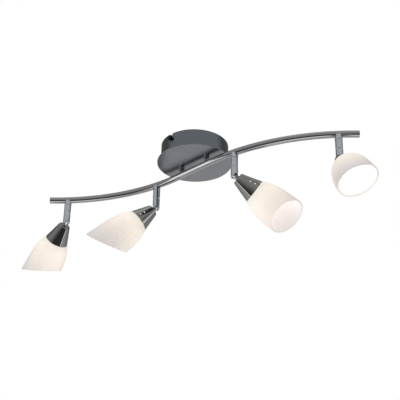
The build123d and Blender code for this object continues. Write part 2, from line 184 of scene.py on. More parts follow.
def soften(made, width, segments=2, angle=38):
    modifier = made.modifiers.new("soften", "BEVEL")
    modifier.width = width
    modifier.segments = segments
    modifier.limit_method = "ANGLE"
    modifier.angle_limit = radians(angle)
    modifier.use_clamp_overlap = True
    return settle(made)


def place(made, matrix, material, body, nodes, slot, places=None):
    # keeps each point's own local place for the materials, then sets the mesh in the frame
    mesh = made.data
    local = mesh.attributes.new("partPlace", "FLOAT_VECTOR", "POINT")
    for n, vertex in enumerate(mesh.vertices):
        local.data[n].vector = places(vertex.co) if places else vertex.co
    mesh.transform(matrix)
    mesh.materials.clear()
    mesh.materials.append(material)
    mesh.polygons.foreach_set("material_index", [0] * len(mesh.polygons))
    mesh.polygons.foreach_set("use_smooth", [True] * len(mesh.polygons))
    mesh.set_sharp_from_angle(angle=radians(34))
    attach(made, body)
    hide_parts(*nodes)
    return made


def takeShape(made):
    # a finished mesh, taken off its object to be joined to others
    shape = bmesh.new()
    shape.from_mesh(made.data)
    bpy.data.objects.remove(made)
    return shape


def merged(name, shapes):
    whole = bmesh.new()
    for shape in shapes:
        part = bpy.data.meshes.new("part")
        shape.to_mesh(part)
        shape.free()
        whole.from_mesh(part)
        bpy.data.meshes.remove(part)
    return newObject(name, whole)


# small tools for node trees


def addNode(tree, kind, inputs=None, **settings):
    made = tree.nodes.new(kind)
    for key, value in settings.items():
        setattr(made, key, value)
    for key, value in (inputs or {}).items():
        socket = made.inputs[key]
        if isinstance(value, bpy.types.NodeSocket):
            tree.links.new(value, socket)
        else:
            socket.default_value = value
    return made


def calc(tree, operation, *values):
    kind = "ShaderNodeMath"
    return addNode(tree, kind, dict(enumerate(values)), operation=operation).outputs[0]


def apart(tree, vector):
    return addNode(tree, "ShaderNodeSeparateXYZ", {"Vector": vector}).outputs


def together(tree, x, y, z):
    return addNode(tree, "ShaderNodeCombineXYZ", {"X": x, "Y": y, "Z": z}).outputs[0]


def newTree(name, inputs):
    tree = bpy.data.node_groups.new(name, "GeometryNodeTree")
    tree.interface.new_socket("Geometry", in_out="INPUT", socket_type="NodeSocketGeometry")
    for label, kind in inputs.items():
        tree.interface.new_socket(label, in_out="INPUT", socket_type="NodeSocket" + kind)
    tree.interface.new_socket("Geometry", in_out="OUTPUT", socket_type="NodeSocketGeometry")
    return tree, tree.nodes.new("NodeGroupInput").outputs


def closeTree(tree, geometry, given):
    whole = addNode(tree, "GeometryNodeRealizeInstances", {"Geometry": geometry}).outputs[0]
    dressed = addNode(tree, "GeometryNodeSetMaterial", {"Geometry": whole, "Material": given["Material"]})
    addNode(tree, "NodeGroupOutput", {"Geometry": dressed.outputs[0]})
    return tree


def runTree(made, tree, values):
    modifier = made.modifiers.new(tree.name, "NODES")
    modifier.node_group = tree
    for socket in tree.interface.items_tree:
        if socket.in_out == "INPUT" and socket.name in values:
            modifier[socket.identifier] = values[socket.name]
    return settle(made)


# materials


def newMaterial(name):
    material = bpy.data.materials.new(name)
    material.use_nodes = True
    tree = material.node_tree
    return material, tree, tree.nodes["Principled BSDF"]


def mixColours(tree, factor, first, second):
    mix = addNode(tree, "ShaderNodeMix", data_type="RGBA")
    tree.links.new(factor, mix.inputs["Factor"])
    for socket, colour in zip([s for s in mix.inputs if s.type == "RGBA"], (first, second)):
        if isinstance(colour, bpy.types.NodeSocket):
            tree.links.new(colour, socket)
        else:
            socket.default_value = (*colour, 1)
    return [s for s in mix.outputs if s.type == "RGBA"][0]


def colourRamp(tree, value, stops):
    ramp = addNode(tree, "ShaderNodeValToRGB", {"Fac": value})
    while len(ramp.color_ramp.elements) < len(stops):
        ramp.color_ramp.elements.new(0.5)
    for element, (spot, colour) in zip(ramp.color_ramp.elements, stops):
        element.position = spot
        element.color = (*colour, 1)
    return ramp.outputs["Color"]


def span(tree, value, low, high, fromLow=0.0, fromHigh=1.0):
    inputs = {"Value": value, "From Min": fromLow, "From Max": fromHigh, "To Min": low, "To Max": high}
    return addNode(tree, "ShaderNodeMapRange", inputs).outputs[0]


def noise(tree, place, scale, detail=3.0, roughness=0.5):
    inputs = {"Vector": place, "Scale": scale, "Detail": detail, "Roughness": roughness}
    return addNode(tree, "ShaderNodeTexNoise", inputs).outputs[0]


def stretched(tree, place, scale):
    return addNode(tree, "ShaderNodeMapping", {"Vector": place, "Scale": scale}).outputs[0]


def ownPlace(tree):
    return addNode(tree, "ShaderNodeAttribute", attribute_name="partPlace").outputs["Vector"]


def objectPlace(tree):
    return addNode(tree, "ShaderNodeTexCoord").outputs["Object"]


def bump(tree, height, strength, distance, before=None):
    inputs = {"Height": height, "Strength": strength, "Distance": distance}
    if before:
        inputs["Normal"] = before
    return addNode(tree, "ShaderNodeBump", inputs).outputs[0]


def metal(name, look, own=True):
    # fine machining lines, wide soft clouding, and small marks
    material, tree, shader = newMaterial(name)
    where = ownPlace(tree) if own else objectPlace(tree)
    lines = noise(tree, stretched(tree, where, look["lineScale"]), 1.0, 4.0, 0.65)
    clouds = noise(tree, where, look["cloudScale"], 3.0)
    specks = noise(tree, where, look["speckScale"], 2.0, 0.7)
    tone = calc(tree, "ADD", calc(tree, "MULTIPLY", clouds, 0.6), calc(tree, "MULTIPLY", lines, 0.4))
    tree.links.new(mixColours(tree, tone, look["dark"], look["light"]), shader.inputs["Base Color"])
    rough = calc(tree, "ADD", span(tree, lines, -look["roughSpan"], look["roughSpan"], 0.3, 0.7),
                 span(tree, clouds, look["rough"] - look["roughSpan"], look["rough"] + look["roughSpan"], 0.3, 0.7))
    tree.links.new(rough, shader.inputs["Roughness"])
    fine = bump(tree, lines, look["lineBump"], 0.00002)
    tree.links.new(bump(tree, specks, look["speckBump"], 0.00003, fine), shader.inputs["Normal"])
    shader.inputs["Metallic"].default_value = 1.0
    return material


satinNickel = metal("satinNickel", {
    "dark": (0.58, 0.61, 0.67), "light": (0.70, 0.74, 0.81), "rough": 0.13, "roughSpan": 0.03,
    "lineScale": (1200, 1200, 60), "cloudScale": 60, "speckScale": 900, "lineBump": 0.1, "speckBump": 0.04})
satinTube = metal("satinTube", {
    "dark": (0.37, 0.372, 0.388), "light": (0.46, 0.462, 0.48), "rough": 0.11, "roughSpan": 0.02,
    "lineScale": (90, 90, 2600), "cloudScale": 40, "speckScale": 900, "lineBump": 0.06, "speckBump": 0.03})
polishedNickel = metal("polishedNickel", {
    "dark": (0.29, 0.285, 0.28), "light": (0.37, 0.363, 0.357), "rough": 0.12, "roughSpan": 0.03,
    "lineScale": (30, 30, 2400), "cloudScale": 50, "speckScale": 1200, "lineBump": 0.2, "speckBump": 0.05})
canopyNickel = metal("canopyNickel", {
    "dark": (0.262, 0.267, 0.292), "light": (0.292, 0.297, 0.322), "rough": 0.3, "roughSpan": 0.04,
    "lineScale": (60, 60, 60), "cloudScale": 25, "speckScale": 1100, "lineBump": 0.05, "speckBump": 0.03})
# a darker copy of the canopy finish for the cup: painted shade on the drum wall
shadedDrumNickel = metal("shadedDrumNickel", {
    "dark": (0.20, 0.222, 0.248), "light": (0.235, 0.26, 0.29), "rough": 0.27, "roughSpan": 0.04,
    "lineScale": (60, 60, 60), "cloudScale": 25, "speckScale": 1100, "lineBump": 0.05, "speckBump": 0.03})
zincSteel = metal("zincSteel", {
    "dark": (0.50, 0.52, 0.55), "light": (0.68, 0.69, 0.70), "rough": 0.36, "roughSpan": 0.08,
    "lineScale": (400, 400, 400), "cloudScale": 90, "speckScale": 1400, "lineBump": 0.2, "speckBump": 0.25},
    own=False)
darkSteel = metal("darkSteel", {
    "dark": (0.035, 0.035, 0.038), "light": (0.085, 0.085, 0.09), "rough": 0.38, "roughSpan": 0.06,
    "lineScale": (300, 300, 1500), "cloudScale": 300, "speckScale": 2000, "lineBump": 0.2, "speckBump": 0.2})
brass = metal("brass", {
    "dark": (0.60, 0.43, 0.18), "light": (0.78, 0.62, 0.34), "rough": 0.28, "roughSpan": 0.06,
    "lineScale": (900, 900, 900), "cloudScale": 200, "speckScale": 1500, "lineBump": 0.2, "speckBump": 0.15},
    own=False)


def plainFinish(name, dark, light, rough, grain, depth, own=True, glow=0.0):
    material, tree, shader = newMaterial(name)
    where = ownPlace(tree) if own else objectPlace(tree)
    coarse = noise(tree, where, grain / 12, 3.0)
    fine = noise(tree, where, grain, 4.0, 0.6)
    tree.links.new(mixColours(tree, span(tree, coarse, 0, 1, 0.3, 0.7), dark, light), shader.inputs["Base Color"])
    tree.links.new(span(tree, fine, rough - 0.06, rough + 0.06, 0.3, 0.7), shader.inputs["Roughness"])
    tree.links.new(bump(tree, fine, depth, 0.00003), shader.inputs["Normal"])
    # any glow here is painted light: the bulb's light on a part that is no lamp, set as emission
    shader.inputs["Emission Color"].default_value = (1.0, 0.96, 0.91, 1)
    shader.inputs["Emission Strength"].default_value = glow
    return material


# the socket and the ring glow with painted light, the bulb's light leaking round them
socketCeramic = plainFinish("socketCeramic", (0.74, 0.71, 0.66), (0.84, 0.81, 0.77), 0.55, 1500, 0.5, glow=0.9)
ringPlastic = plainFinish("ringPlastic", (0.78, 0.77, 0.75), (0.84, 0.83, 0.81), 0.32, 900, 0.25, glow=0.5)
blockPlastic = plainFinish("blockPlastic", (0.80, 0.80, 0.78), (0.86, 0.86, 0.84), 0.38, 900, 0.25, own=False)
leadSleeve = plainFinish("leadSleeve", (0.12, 0.07, 0.04), (0.20, 0.12, 0.07), 0.45, 700, 0.2, own=False)


def glowingOpal():
    # satin opal glass, lit from inside: the bulb's light through the glass is painted on as emission, warm at the
    # neck, cooler and greyer to the mouth
    material, tree, shader = newMaterial("opalGlass")
    along = apart(tree, ownPlace(tree))["Z"]
    share = span(tree, along, 0, 1, glass["neckAt"] * mm, (glass["neckAt"] + glass["longSide"]) * mm)
    clouds = noise(tree, ownPlace(tree), 45, 3.0)
    fine = noise(tree, ownPlace(tree), 900, 3.0, 0.6)
    drift = span(tree, clouds, -0.03, 0.03, 0.3, 0.7)
    glow = colourRamp(tree, calc(tree, "ADD", share, drift), glass["glow"])
    # the inner wall gets its own painted glow, the bulb's light falling on it
    inside = addNode(tree, "ShaderNodeAttribute", attribute_name="inside").outputs["Fac"]
    tree.links.new(mixColours(tree, inside, glow, glass["innerGlow"]), shader.inputs["Emission Color"])
    shader.inputs["Emission Strength"].default_value = glass["glowStrength"]
    tree.links.new(mixColours(tree, clouds, glass["dark"], glass["light"]), shader.inputs["Base Color"])
    tree.links.new(span(tree, fine, 0.36, 0.46, 0.3, 0.7), shader.inputs["Roughness"])
    tree.links.new(bump(tree, fine, 0.12, 0.00003), shader.inputs["Normal"])
    shader.inputs["Subsurface Weight"].default_value = 0.1
    shader.inputs["Subsurface Radius"].default_value = (0.004, 0.0036, 0.003)
    shader.inputs["Subsurface Scale"].default_value = 1.0
    return material


def litBulb():
    material, tree, shader = newMaterial("bulbGlass")
    along = apart(tree, ownPlace(tree))["Z"]
    share = span(tree, along, 0, 1, bulb["glassStart"] * mm, bulb["glassEnd"] * mm)
    grain = noise(tree, ownPlace(tree), 500, 2.0)
    colour = mixColours(tree, calc(tree, "MULTIPLY", share, grain), (1.0, 0.94, 0.85), (1.0, 0.975, 0.93))
    tree.links.new(colour, shader.inputs["Emission Color"])
    tree.links.new(colour, shader.inputs["Base Color"])
    shader.inputs["Emission Strength"].default_value = bulb["glowStrength"]
    tree.links.new(span(tree, grain, 0.15, 0.3), shader.inputs["Roughness"])
    return material


# where each lamp is, read from the joints

lamps = {}
for k in lampNumbers:
    spot = Vector(joints[f"swivel_{k}"]["pos_m"])
    pivot = Vector(joints[f"tilt_{k}"]["pos_m"])
    pivotAxis = Vector(joints[f"tilt_{k}"]["axis"])
    outward = Vector((-pivotAxis.y, pivotAxis.x, 0))
    tilt = radians(-joints[f"tilt_{k}"]["range_deg"][0])
    headAxis = outward * sin(tilt) - up * cos(tilt)
    upperSide = outward * cos(tilt) + up * sin(tilt)
    lamps[k] = {
        "arm": Matrix.Translation(spot) @ Matrix((outward, up.cross(outward), up)).transposed().to_4x4(),
        "head": Matrix.Translation(pivot) @ Matrix((upperSide, pivotAxis, headAxis)).transposed().to_4x4(),
        "spot": spot, "axis": headAxis, "pivotDrop": spot.z - pivot.z,
        "armBody": f"arm_{k}", "headBody": f"head_{k}",
    }

# the tube, an S of two arcs and a straight middle

bar = {
    "straightHalf": 40, "bendRadius": 356, "lengthHalf": 311.3, "radius": 6.0, "wall": 1.0,
    "stations": 320, "sides": 64, "plugHead": 1.2, "plugLength": 8.0, "plugRadius": 4.88, "lampPitch": 185,
    "fitGap": 0.02,
}


def barPlace(distance):
    # centre-line point and heading at a signed distance from the tube's middle, in metres
    turn = (bar["lengthHalf"] + bar["plugHead"] - bar["straightHalf"]) / bar["bendRadius"]
    reach = bar["straightHalf"] + bar["bendRadius"] * sin(turn)
    middle = -atan2(bar["bendRadius"] * (1 - cos(turn)), reach)
    side = 1 if distance >= 0 else -1
    run = min(abs(distance), bar["straightHalf"])
    swing = (abs(distance) - run) / bar["bendRadius"]
    ahead = run + bar["bendRadius"] * sin(swing)
    aside = bar["bendRadius"] * (1 - cos(swing))
    along = Vector((cos(middle), sin(middle), 0))
    across = Vector((-sin(middle), cos(middle), 0))
    level = lamps[1]["spot"].z
    return (along * ahead + across * aside) * side * mm + up * level, middle + swing


def barTree():
    tree, given = newTree("bentTube", {
        "Material": "Material", "Straight Half": "Float", "Bend Radius": "Float", "Length Half": "Float",
        "Tube Radius": "Float", "Heading": "Float", "Level": "Float", "Stations": "Int", "Sides": "Int"})
    line = addNode(tree, "GeometryNodeCurvePrimitiveLine", {"End": (1, 0, 0)}).outputs[0]
    line = addNode(tree, "GeometryNodeResampleCurve", {"Curve": line, "Count": given["Stations"]}).outputs[0]
    share = addNode(tree, "GeometryNodeSplineParameter").outputs["Factor"]
    signed = calc(tree, "MULTIPLY", calc(tree, "MULTIPLY_ADD", share, 2.0, -1.0), given["Length Half"])
    side = calc(tree, "SIGN", signed)
    distance = calc(tree, "ABSOLUTE", signed)
    run = calc(tree, "MINIMUM", distance, given["Straight Half"])
    swing = calc(tree, "DIVIDE", calc(tree, "SUBTRACT", distance, run), given["Bend Radius"])
    ahead = calc(tree, "MULTIPLY_ADD", calc(tree, "SINE", swing), given["Bend Radius"], run)
    shortfall = calc(tree, "SUBTRACT", 1.0, calc(tree, "COSINE", swing))
    aside = calc(tree, "MULTIPLY", shortfall, given["Bend Radius"])
    flat = together(tree, calc(tree, "MULTIPLY", ahead, side), calc(tree, "MULTIPLY", aside, side), given["Level"])
    turned = addNode(tree, "ShaderNodeVectorRotate", {"Vector": flat, "Angle": given["Heading"]},
                     rotation_type="Z_AXIS").outputs[0]
    path = addNode(tree, "GeometryNodeSetPosition", {"Geometry": line, "Position": turned}).outputs[0]
    ring = addNode(tree, "GeometryNodeCurvePrimitiveCircle",
                   {"Resolution": given["Sides"], "Radius": given["Tube Radius"]}).outputs[0]
    tube = addNode(tree, "GeometryNodeCurveToMesh", {"Curve": path, "Profile Curve": ring}).outputs[0]
    return closeTree(tree, tube, given)


def unrolled(point):
    # how far along the tube a point lies, and where on its section
    best, distance = 1e9, 0.0
    guess = point.x / mm
    for n in range(-6, 7):
        spot, _ = barPlace(guess + n * 2.5)
        gap = (Vector((point.x, point.y, 0)) - Vector((spot.x, spot.y, 0))).length
        if gap < best:
            best, distance = gap, guess + n * 2.5
    spot, heading = barPlace(distance)
    aside = (point - spot).dot(Vector((-sin(heading), cos(heading), 0)))
    ahead = (point - spot).dot(Vector((cos(heading), sin(heading), 0)))
    return Vector((aside, point.z - spot.z, distance * mm + ahead))


def makeBar():
    heading = barPlace(0)[1]
    tube = newObject("barTube", bmesh.new())
    runTree(tube, barTree(), {
        "Material": satinTube, "Straight Half": bar["straightHalf"] * mm, "Bend Radius": bar["bendRadius"] * mm,
        "Length Half": bar["lengthHalf"] * mm, "Tube Radius": bar["radius"] * mm, "Heading": heading,
        "Level": lamps[1]["spot"].z, "Stations": bar["stations"] + 1, "Sides": bar["sides"]})
    shape = bmesh.new()
    shape.from_mesh(tube.data)
    bmesh.ops.recalc_face_normals(shape, faces=shape.faces)
    middle = shape.faces[len(shape.faces) // 2]
    nearest = middle.calc_center_median()
    if (nearest - barPlace(nearest.x / mm)[0]).dot(middle.normal) < 0:
        bmesh.ops.reverse_faces(shape, faces=shape.faces)
    shape.to_mesh(tube.data)
    shape.free()
    wall = tube.modifiers.new("wall", "SOLIDIFY")
    wall.thickness = bar["wall"] * mm
    wall.offset = -1
    settle(tube)
    place(tube, Matrix(), satinTube, rootBody, ["bar_tube"], "satin_nickel", unrolled)
    for name, side in (("endPlugLeft", -1), ("endPlugRight", 1)):
        spot, heading = barPlace(side * bar["lengthHalf"])
        outward = Vector((cos(heading), sin(heading), 0)) * side
        turn = up.rotation_difference(outward).to_matrix().to_4x4()
        corners = [
            (0, -bar["plugLength"]), (bar["plugRadius"], -bar["plugLength"], 0.3), (bar["plugRadius"], 0),
            (bar["radius"], 0, 0.2), (bar["radius"], bar["plugHead"], 0.55), (0, bar["plugHead"])]
        plug = newObject(name, lathe(inMetres(corners), 64))
        node = "end_plug_left" if side < 0 else "end_plug_right"
        place(plug, Matrix.Translation(spot) @ turn, satinTube, rootBody, [node], "satin_nickel")
    print("bar made")


# the canopy

canopy = {
    "cupRadius": 60.5, "cupHeight": 33.4, "cupWall": 1.2, "cupRound": 1.6, "notchWidth": 8.0, "screwLevel": 9.0,
    "plateRadius": 67.0, "plateThick": 1.6, "plateRound": 0.78, "spacerReach": 31.0, "spacerRadius": 5.5,
    "barDrop": 12.0, "spacerBore": 3.1, "thumbRadius": 4.5, "thumbLength": 5.0, "thumbStart": 60.9,
    "thumbEdge": 0.7, "ridges": 36, "ridgeDepth": 0.45, "shaftRadius": 2.0, "shaftStart": 53.0, "shaftEnd": 61.0,
}


def knurlTree():
    tree, given = newTree("knurledHead", {
        "Material": "Material", "Radius": "Float", "Length": "Float", "Ridges": "Int", "Ridge Depth": "Float",
        "Edge": "Float"})
    sides = calc(tree, "MULTIPLY", given["Ridges"], 4.0)
    body = addNode(tree, "GeometryNodeMeshCylinder", {
        "Vertices": sides, "Side Segments": 12, "Radius": given["Radius"], "Depth": given["Length"]},
        fill_type="NGON").outputs["Mesh"]
    spot = addNode(tree, "GeometryNodeInputPosition").outputs[0]
    parts = apart(tree, spot)
    angle = calc(tree, "ARCTAN2", parts["Y"], parts["X"])
    turns = calc(tree, "MULTIPLY", calc(tree, "DIVIDE", angle, 2 * pi), given["Ridges"])
    wave = calc(tree, "PINGPONG", turns, 0.5)
    halfLength = calc(tree, "MULTIPLY", given["Length"], 0.5)
    fromEnd = calc(tree, "SUBTRACT", halfLength, calc(tree, "ABSOLUTE", parts["Z"]))
    worn = addNode(tree, "ShaderNodeMapRange", {
        "Value": fromEnd, "From Min": 0.0, "From Max": given["Edge"], "To Min": 1.0, "To Max": 0.0},
        interpolation_type="SMOOTHERSTEP").outputs[0]
    groove = calc(tree, "MULTIPLY", calc(tree, "MULTIPLY", wave, 2.0), given["Ridge Depth"])
    inset = calc(tree, "MULTIPLY_ADD", worn, calc(tree, "MULTIPLY", given["Edge"], 0.9), groove)
    factor = calc(tree, "SUBTRACT", 1.0, calc(tree, "DIVIDE", inset, given["Radius"]))
    across, aside = (calc(tree, "MULTIPLY", parts[axis], factor) for axis in "XY")
    scaled = together(tree, across, aside, parts["Z"])
    body = addNode(tree, "GeometryNodeSetPosition", {"Geometry": body, "Position": scaled}).outputs[0]
    return closeTree(tree, body, given)


def makeCanopy():
    top = canopy["cupHeight"] * mm
    radius, wall = canopy["cupRadius"] * mm, canopy["cupWall"] * mm
    way = screwHeading()
    cup = newObject("canopyCup", lathe([
        (radius - wall, 0, 0.3 * mm), (radius, 0, 0.3 * mm), (radius, -top, canopy["cupRound"] * mm),
        (0, -top), (0, -top + wall), (radius - wall, -top + wall, 0.8 * mm)], 192))
    level = -canopy["screwLevel"] * mm
    half = canopy["notchWidth"] / 2 * mm
    notch = [(half * cos(a), level + half * sin(a)) for a in [pi + pi * n / 24 for n in range(25)]]
    notch += [(half, 0.01), (-half, 0.01)]
    cutter = slab(notch, -0.08, 0.08)
    bmesh.ops.rotate(cutter, cent=(0, 0, 0), matrix=Matrix.Rotation(way - pi / 2, 3, "Z"), verts=cutter.verts)
    cut(cup, cutter)
    # the cup wears the darker copy of the canopy finish, painted shade on its wall
    place(cup, Matrix(), shadedDrumNickel, rootBody, ["canopy_cup"], "canopy_nickel")
    face = -(canopy["cupHeight"] + canopy["plateThick"]) * mm
    reach, edge = canopy["plateRadius"] * mm, canopy["plateRound"] * mm
    plate = newObject("canopyPlate", lathe([(0, -top), (reach, -top, edge), (reach, face, edge), (0, face)], 192))
    place(plate, Matrix(), canopyNickel, rootBody, ["canopy_plate"], "canopy_nickel")
    for name, node, side in (("spacerLeft", "spacer_left", -1), ("spacerRight", "spacer_right", 1)):
        spot, heading = barPlace(side * canopy["spacerReach"])
        bore, wide, tall = canopy["spacerBore"], canopy["spacerRadius"], canopy["barDrop"]
        spacer = newObject(name, lathe(inMetres([(bore, 0), (wide, 0), (wide, tall, 0.5), (bore, tall)]), 72))
        saddle = (bar["radius"] + bar["fitGap"]) * mm
        cut(spacer, rod(saddle, -0.02, 0.02, (cos(heading), sin(heading), 0), turns=96))
        soften(spacer, 0.15 * mm)
        place(spacer, Matrix.Translation(spot), satinNickel, rootBody, [node], "satin_nickel")
    tree = knurlTree()
    whole = []
    for side in (-1, 1):
        head = newObject("head", bmesh.new())
        runTree(head, tree, {
            "Material": darkSteel, "Radius": canopy["thumbRadius"] * mm, "Length": canopy["thumbLength"] * mm,
            "Ridges": canopy["ridges"], "Ridge Depth": canopy["ridgeDepth"] * mm, "Edge": canopy["thumbEdge"] * mm})
        shape = takeShape(head)
        middle = canopy["thumbStart"] + canopy["thumbLength"] / 2
        bmesh.ops.translate(shape, vec=(0, 0, middle * mm), verts=shape.verts)
        thick, start, end = canopy["shaftRadius"], canopy["shaftStart"], canopy["shaftEnd"]
        shaft = lathe(inMetres([(0, start), (thick, start, 0.4), (thick, end), (0, end)]), 48)
        for part in (shape, shaft):
            turn = Matrix.Rotation(way + (pi if side < 0 else 0), 4, "Z") @ Matrix.Rotation(pi / 2, 4, "Y")
            bmesh.ops.transform(part, matrix=Matrix.Translation((0, 0, level)) @ turn, verts=part.verts)
            whole.append(part)
    screws = merged("sideScrews", whole)
    place(screws, Matrix(), darkSteel, rootBody, ["side_screws"], "dark_steel")
    print("canopy made")


def screwHeading():
    # the side screws lie on a line through the canopy's centre
    points = [v.co for v in frame["nodes"]["side_screws"].data.vertices]
    ahead = [p for p in points if p.y > 0]
    middle = sum((Vector((p.x, p.y, 0)) for p in ahead), Vector()) / len(ahead)
    return atan2(middle.y, middle.x)


# stems, their mounts and screws

stem = {
    "radius": 6.3, "top": 11.8, "lineDrop": 30.0, "lineWide": 0.9, "lineDeep": 0.45, "bottomBelowPivot": 4.3,
    "round": 3.0, "slotWidth": 5.2, "slotRise": 4.7, "bore": 4.58, "boreEnd": 30.3, "leadBore": 1.8,
    "grubDrop": 25.0, "grubRadius": 2.0, "grubTip": 1.2, "grubStart": 3.6, "grubSeat": 4.9, "grubKey": 1.0,
    "grubKeyDeep": 0.6, "screwInset": 0.6, "pinRadius": 1.5, "pinHeadRadius": 2.6, "pinHeadHeight": 1.5,
    "pinSlot": 0.8, "pinSlotDeep": 0.8,
}
mount = {
    "radius": 6.6, "top": 2.0, "drop": 11.5, "spigot": 4.5, "spigotDrop": 30.0, "bore": 2.2,
    "grooveDrop": 25.0, "grooveRadius": 3.3, "grooveHeight": 3.2,
}


def makeMount(k, lamp):
    wide, spigot, bore, waist = (mount[name] for name in ("radius", "spigot", "bore", "grooveRadius"))
    top, drop, end = -mount["top"], -mount["drop"], -mount["spigotDrop"]
    high, low = (-mount["grooveDrop"] + side * mount["grooveHeight"] / 2 for side in (1, -1))
    corners = [
        (bore, top), (wide, top, 0.3), (wide, drop, 0.45), (spigot, drop), (spigot, high), (waist, high),
        (waist, low), (spigot, low), (spigot, end, 0.4), (bore, end)]
    made = newObject(f"stemMount{k}", lathe(inMetres(corners), 72))
    spots = [barPlace(side * pitches * bar["lampPitch"]) for pitches in (0.5, 1.5) for side in (-1, 1)]
    heading = min(spots, key=lambda s: (s[0] - lamp["spot"]).length)[1]
    direction = lamp["arm"].to_3x3().inverted() @ Vector((cos(heading), sin(heading), 0))
    cut(made, rod((bar["radius"] + bar["fitGap"]) * mm, -0.02, 0.02, direction, turns=96))
    soften(made, 0.12 * mm)
    place(made, lamp["arm"], satinNickel, rootBody, [f"stem_mount_{k}"], "satin_nickel")


def makeStem(k, lamp):
    low = lamp["pivotDrop"] / mm + stem["bottomBelowPivot"]
    pivot = lamp["pivotDrop"] / mm
    line, half, wide = -stem["lineDrop"], stem["lineWide"] / 2, stem["radius"]
    bore, leadBore, boreEnd = stem["bore"], stem["leadBore"], -stem["boreEnd"]
    corners = [
        (bore, -stem["top"]), (wide, -stem["top"], 0.4), (wide, line + half), (wide - stem["lineDeep"], line),
        (wide, line - half), (wide, -low, stem["round"]), (0, -low), (0, -pivot), (leadBore, -pivot),
        (leadBore, boreEnd), (bore, boreEnd)]
    made = newObject(f"stem{k}", lathe(inMetres(corners), 96, 10))
    slotTop = -pivot + stem["slotRise"]
    half = stem["slotWidth"] / 2
    slot = block((-stem["slotRise"] * mm, -half * mm, -60 * mm), (10 * mm, half * mm, slotTop * mm))
    centre = (0, 0, -pivot * mm)
    headBase = stem["radius"] - stem["screwInset"] - stem["pinHeadHeight"]
    across = rod(stem["pinRadius"] * mm, -0.01, 0.01, (0, 1, 0), centre)
    seat = rod(stem["pinHeadRadius"] * mm, headBase * mm, 0.01, (0, -1, 0), centre)
    grub = rod(stem["grubRadius"] * mm, 3 * mm, 0.01, (-1, 0, 0), (0, 0, -stem["grubDrop"] * mm))
    cut(made, slot, across, seat, grub)
    soften(made, 0.22 * mm)
    place(made, lamp["arm"], satinNickel, lamp["armBody"], [f"stem_{k}"], "satin_nickel")

    end = stem["radius"] - stem["screwInset"]
    pin, head = stem["pinRadius"], stem["pinHeadRadius"]
    corners = [(0, -end), (pin, -end, 0.25), (pin, headBase), (head, headBase), (head, end, 0.45), (0, end)]
    screw = newObject(f"pivotScrew{k}", lathe(inMetres(corners), 64))
    wide, deep = stem["pinSlot"] / 2 * mm, stem["pinSlotDeep"] * mm
    cut(screw, block((-0.01, -wide, end * mm - deep), (0.01, wide, 0.02)))
    soften(screw, 0.08 * mm)
    turn = up.rotation_difference(Vector((0, -1, 0))).to_matrix().to_4x4()
    sit = lamp["arm"] @ Matrix.Translation(Vector(centre)) @ turn @ Matrix.Rotation(0.5 + 0.7 * k, 4, "Z")
    place(screw, sit, darkSteel, lamp["armBody"], [f"pivot_screw_{k}"], "dark_steel")

    start, seat, tip, thread = (stem[name] for name in ("grubStart", "grubSeat", "grubTip", "grubRadius"))
    corners = [(0, start), (tip, start, 0.2), (tip, seat), (thread, seat), (thread, end, 0.2), (0, end)]
    screw = newObject(f"grubScrew{k}", lathe(inMetres(corners), 64))
    cut(screw, rod(stem["grubKey"] * mm, (end - stem["grubKeyDeep"]) * mm, 0.01, turns=6))
    turn = up.rotation_difference(Vector((-1, 0, 0))).to_matrix().to_4x4()
    sit = lamp["arm"] @ Matrix.Translation((0, 0, -stem["grubDrop"] * mm)) @ turn
    place(screw, sit, satinNickel, lamp["armBody"], [f"grub_screw_{k}"], "satin_nickel")


# heads: knuckle, holder, socket, bulb, ring and glass

holder = {
    "start": 7.0, "length": 36.2, "smallRadius": 10.4, "wideRadius": 21.5, "wall": 1.0, "endWall": 1.5,
    "shoulder": 2.6, "shank": 4.0, "shankGap": 0.1, "ventRadius": 1.2, "ventRows": 2, "ventFractions": (0.55, 0.79),
    "ventTurn": 90.0,
}
tongue = {"radius": 4.2, "thick": 4.6, "hole": 1.55, "shankLength": 7.5}
socket = {
    "rearRadius": 8.0, "rearLength": 17.5, "rearBore": 6.0, "radius": 13.6, "nose": 7.0, "recess": 7.6,
    "recessDepth": 11.5, "contactRadius": 0.8, "contactAside": 3.0, "contactDeep": 6.5,
}
bulb = {
    "radius": 6.6, "glassStart": 46.3, "glassEnd": 84.3, "heel": 1.6, "tip": 0.7, "pinch": (10.6, 4.2),
    "floor": 38.7, "pinRadius": 0.8, "pinAside": 3.0, "pinLength": 5.5, "glowStrength": 1.4,
}
ring = {"radius": 18.4, "height": 3.6, "notches": 8, "notchRadius": 0.9, "notchLength": 4.2}
glass = {
    "neckAt": 43.2, "wall": 3.0, "neckRadius": 22.2, "neckRound": 1.2, "bellyRadius": 33.5, "bellyAt": 45.7,
    "flare": 2.0, "mouthAt": 69.8, "longSide": 93.0, "slant": 33.8, "hole": 14.4, "holeEdge": 0.4, "floorRound": 1.5,
    "rimBulge": 0.8, "turns": 160, "stations": 56, "dark": (0.815, 0.802, 0.795), "light": (0.84, 0.83, 0.825),
    "glowStrength": 1.0,
    # painted glow, the bulb's light on the glass set as emission, from the neck (0) to the end of the long side (1),
    # and on the inner wall
    "glow": [(0.0, (0.31, 0.27, 0.21)), (0.15, (0.42, 0.35, 0.26)), (0.4, (0.34, 0.265, 0.19)),
             (0.7, (0.19, 0.145, 0.11)), (1.0, (0.07, 0.055, 0.05))],
    "innerGlow": (0.21, 0.18, 0.17),
}


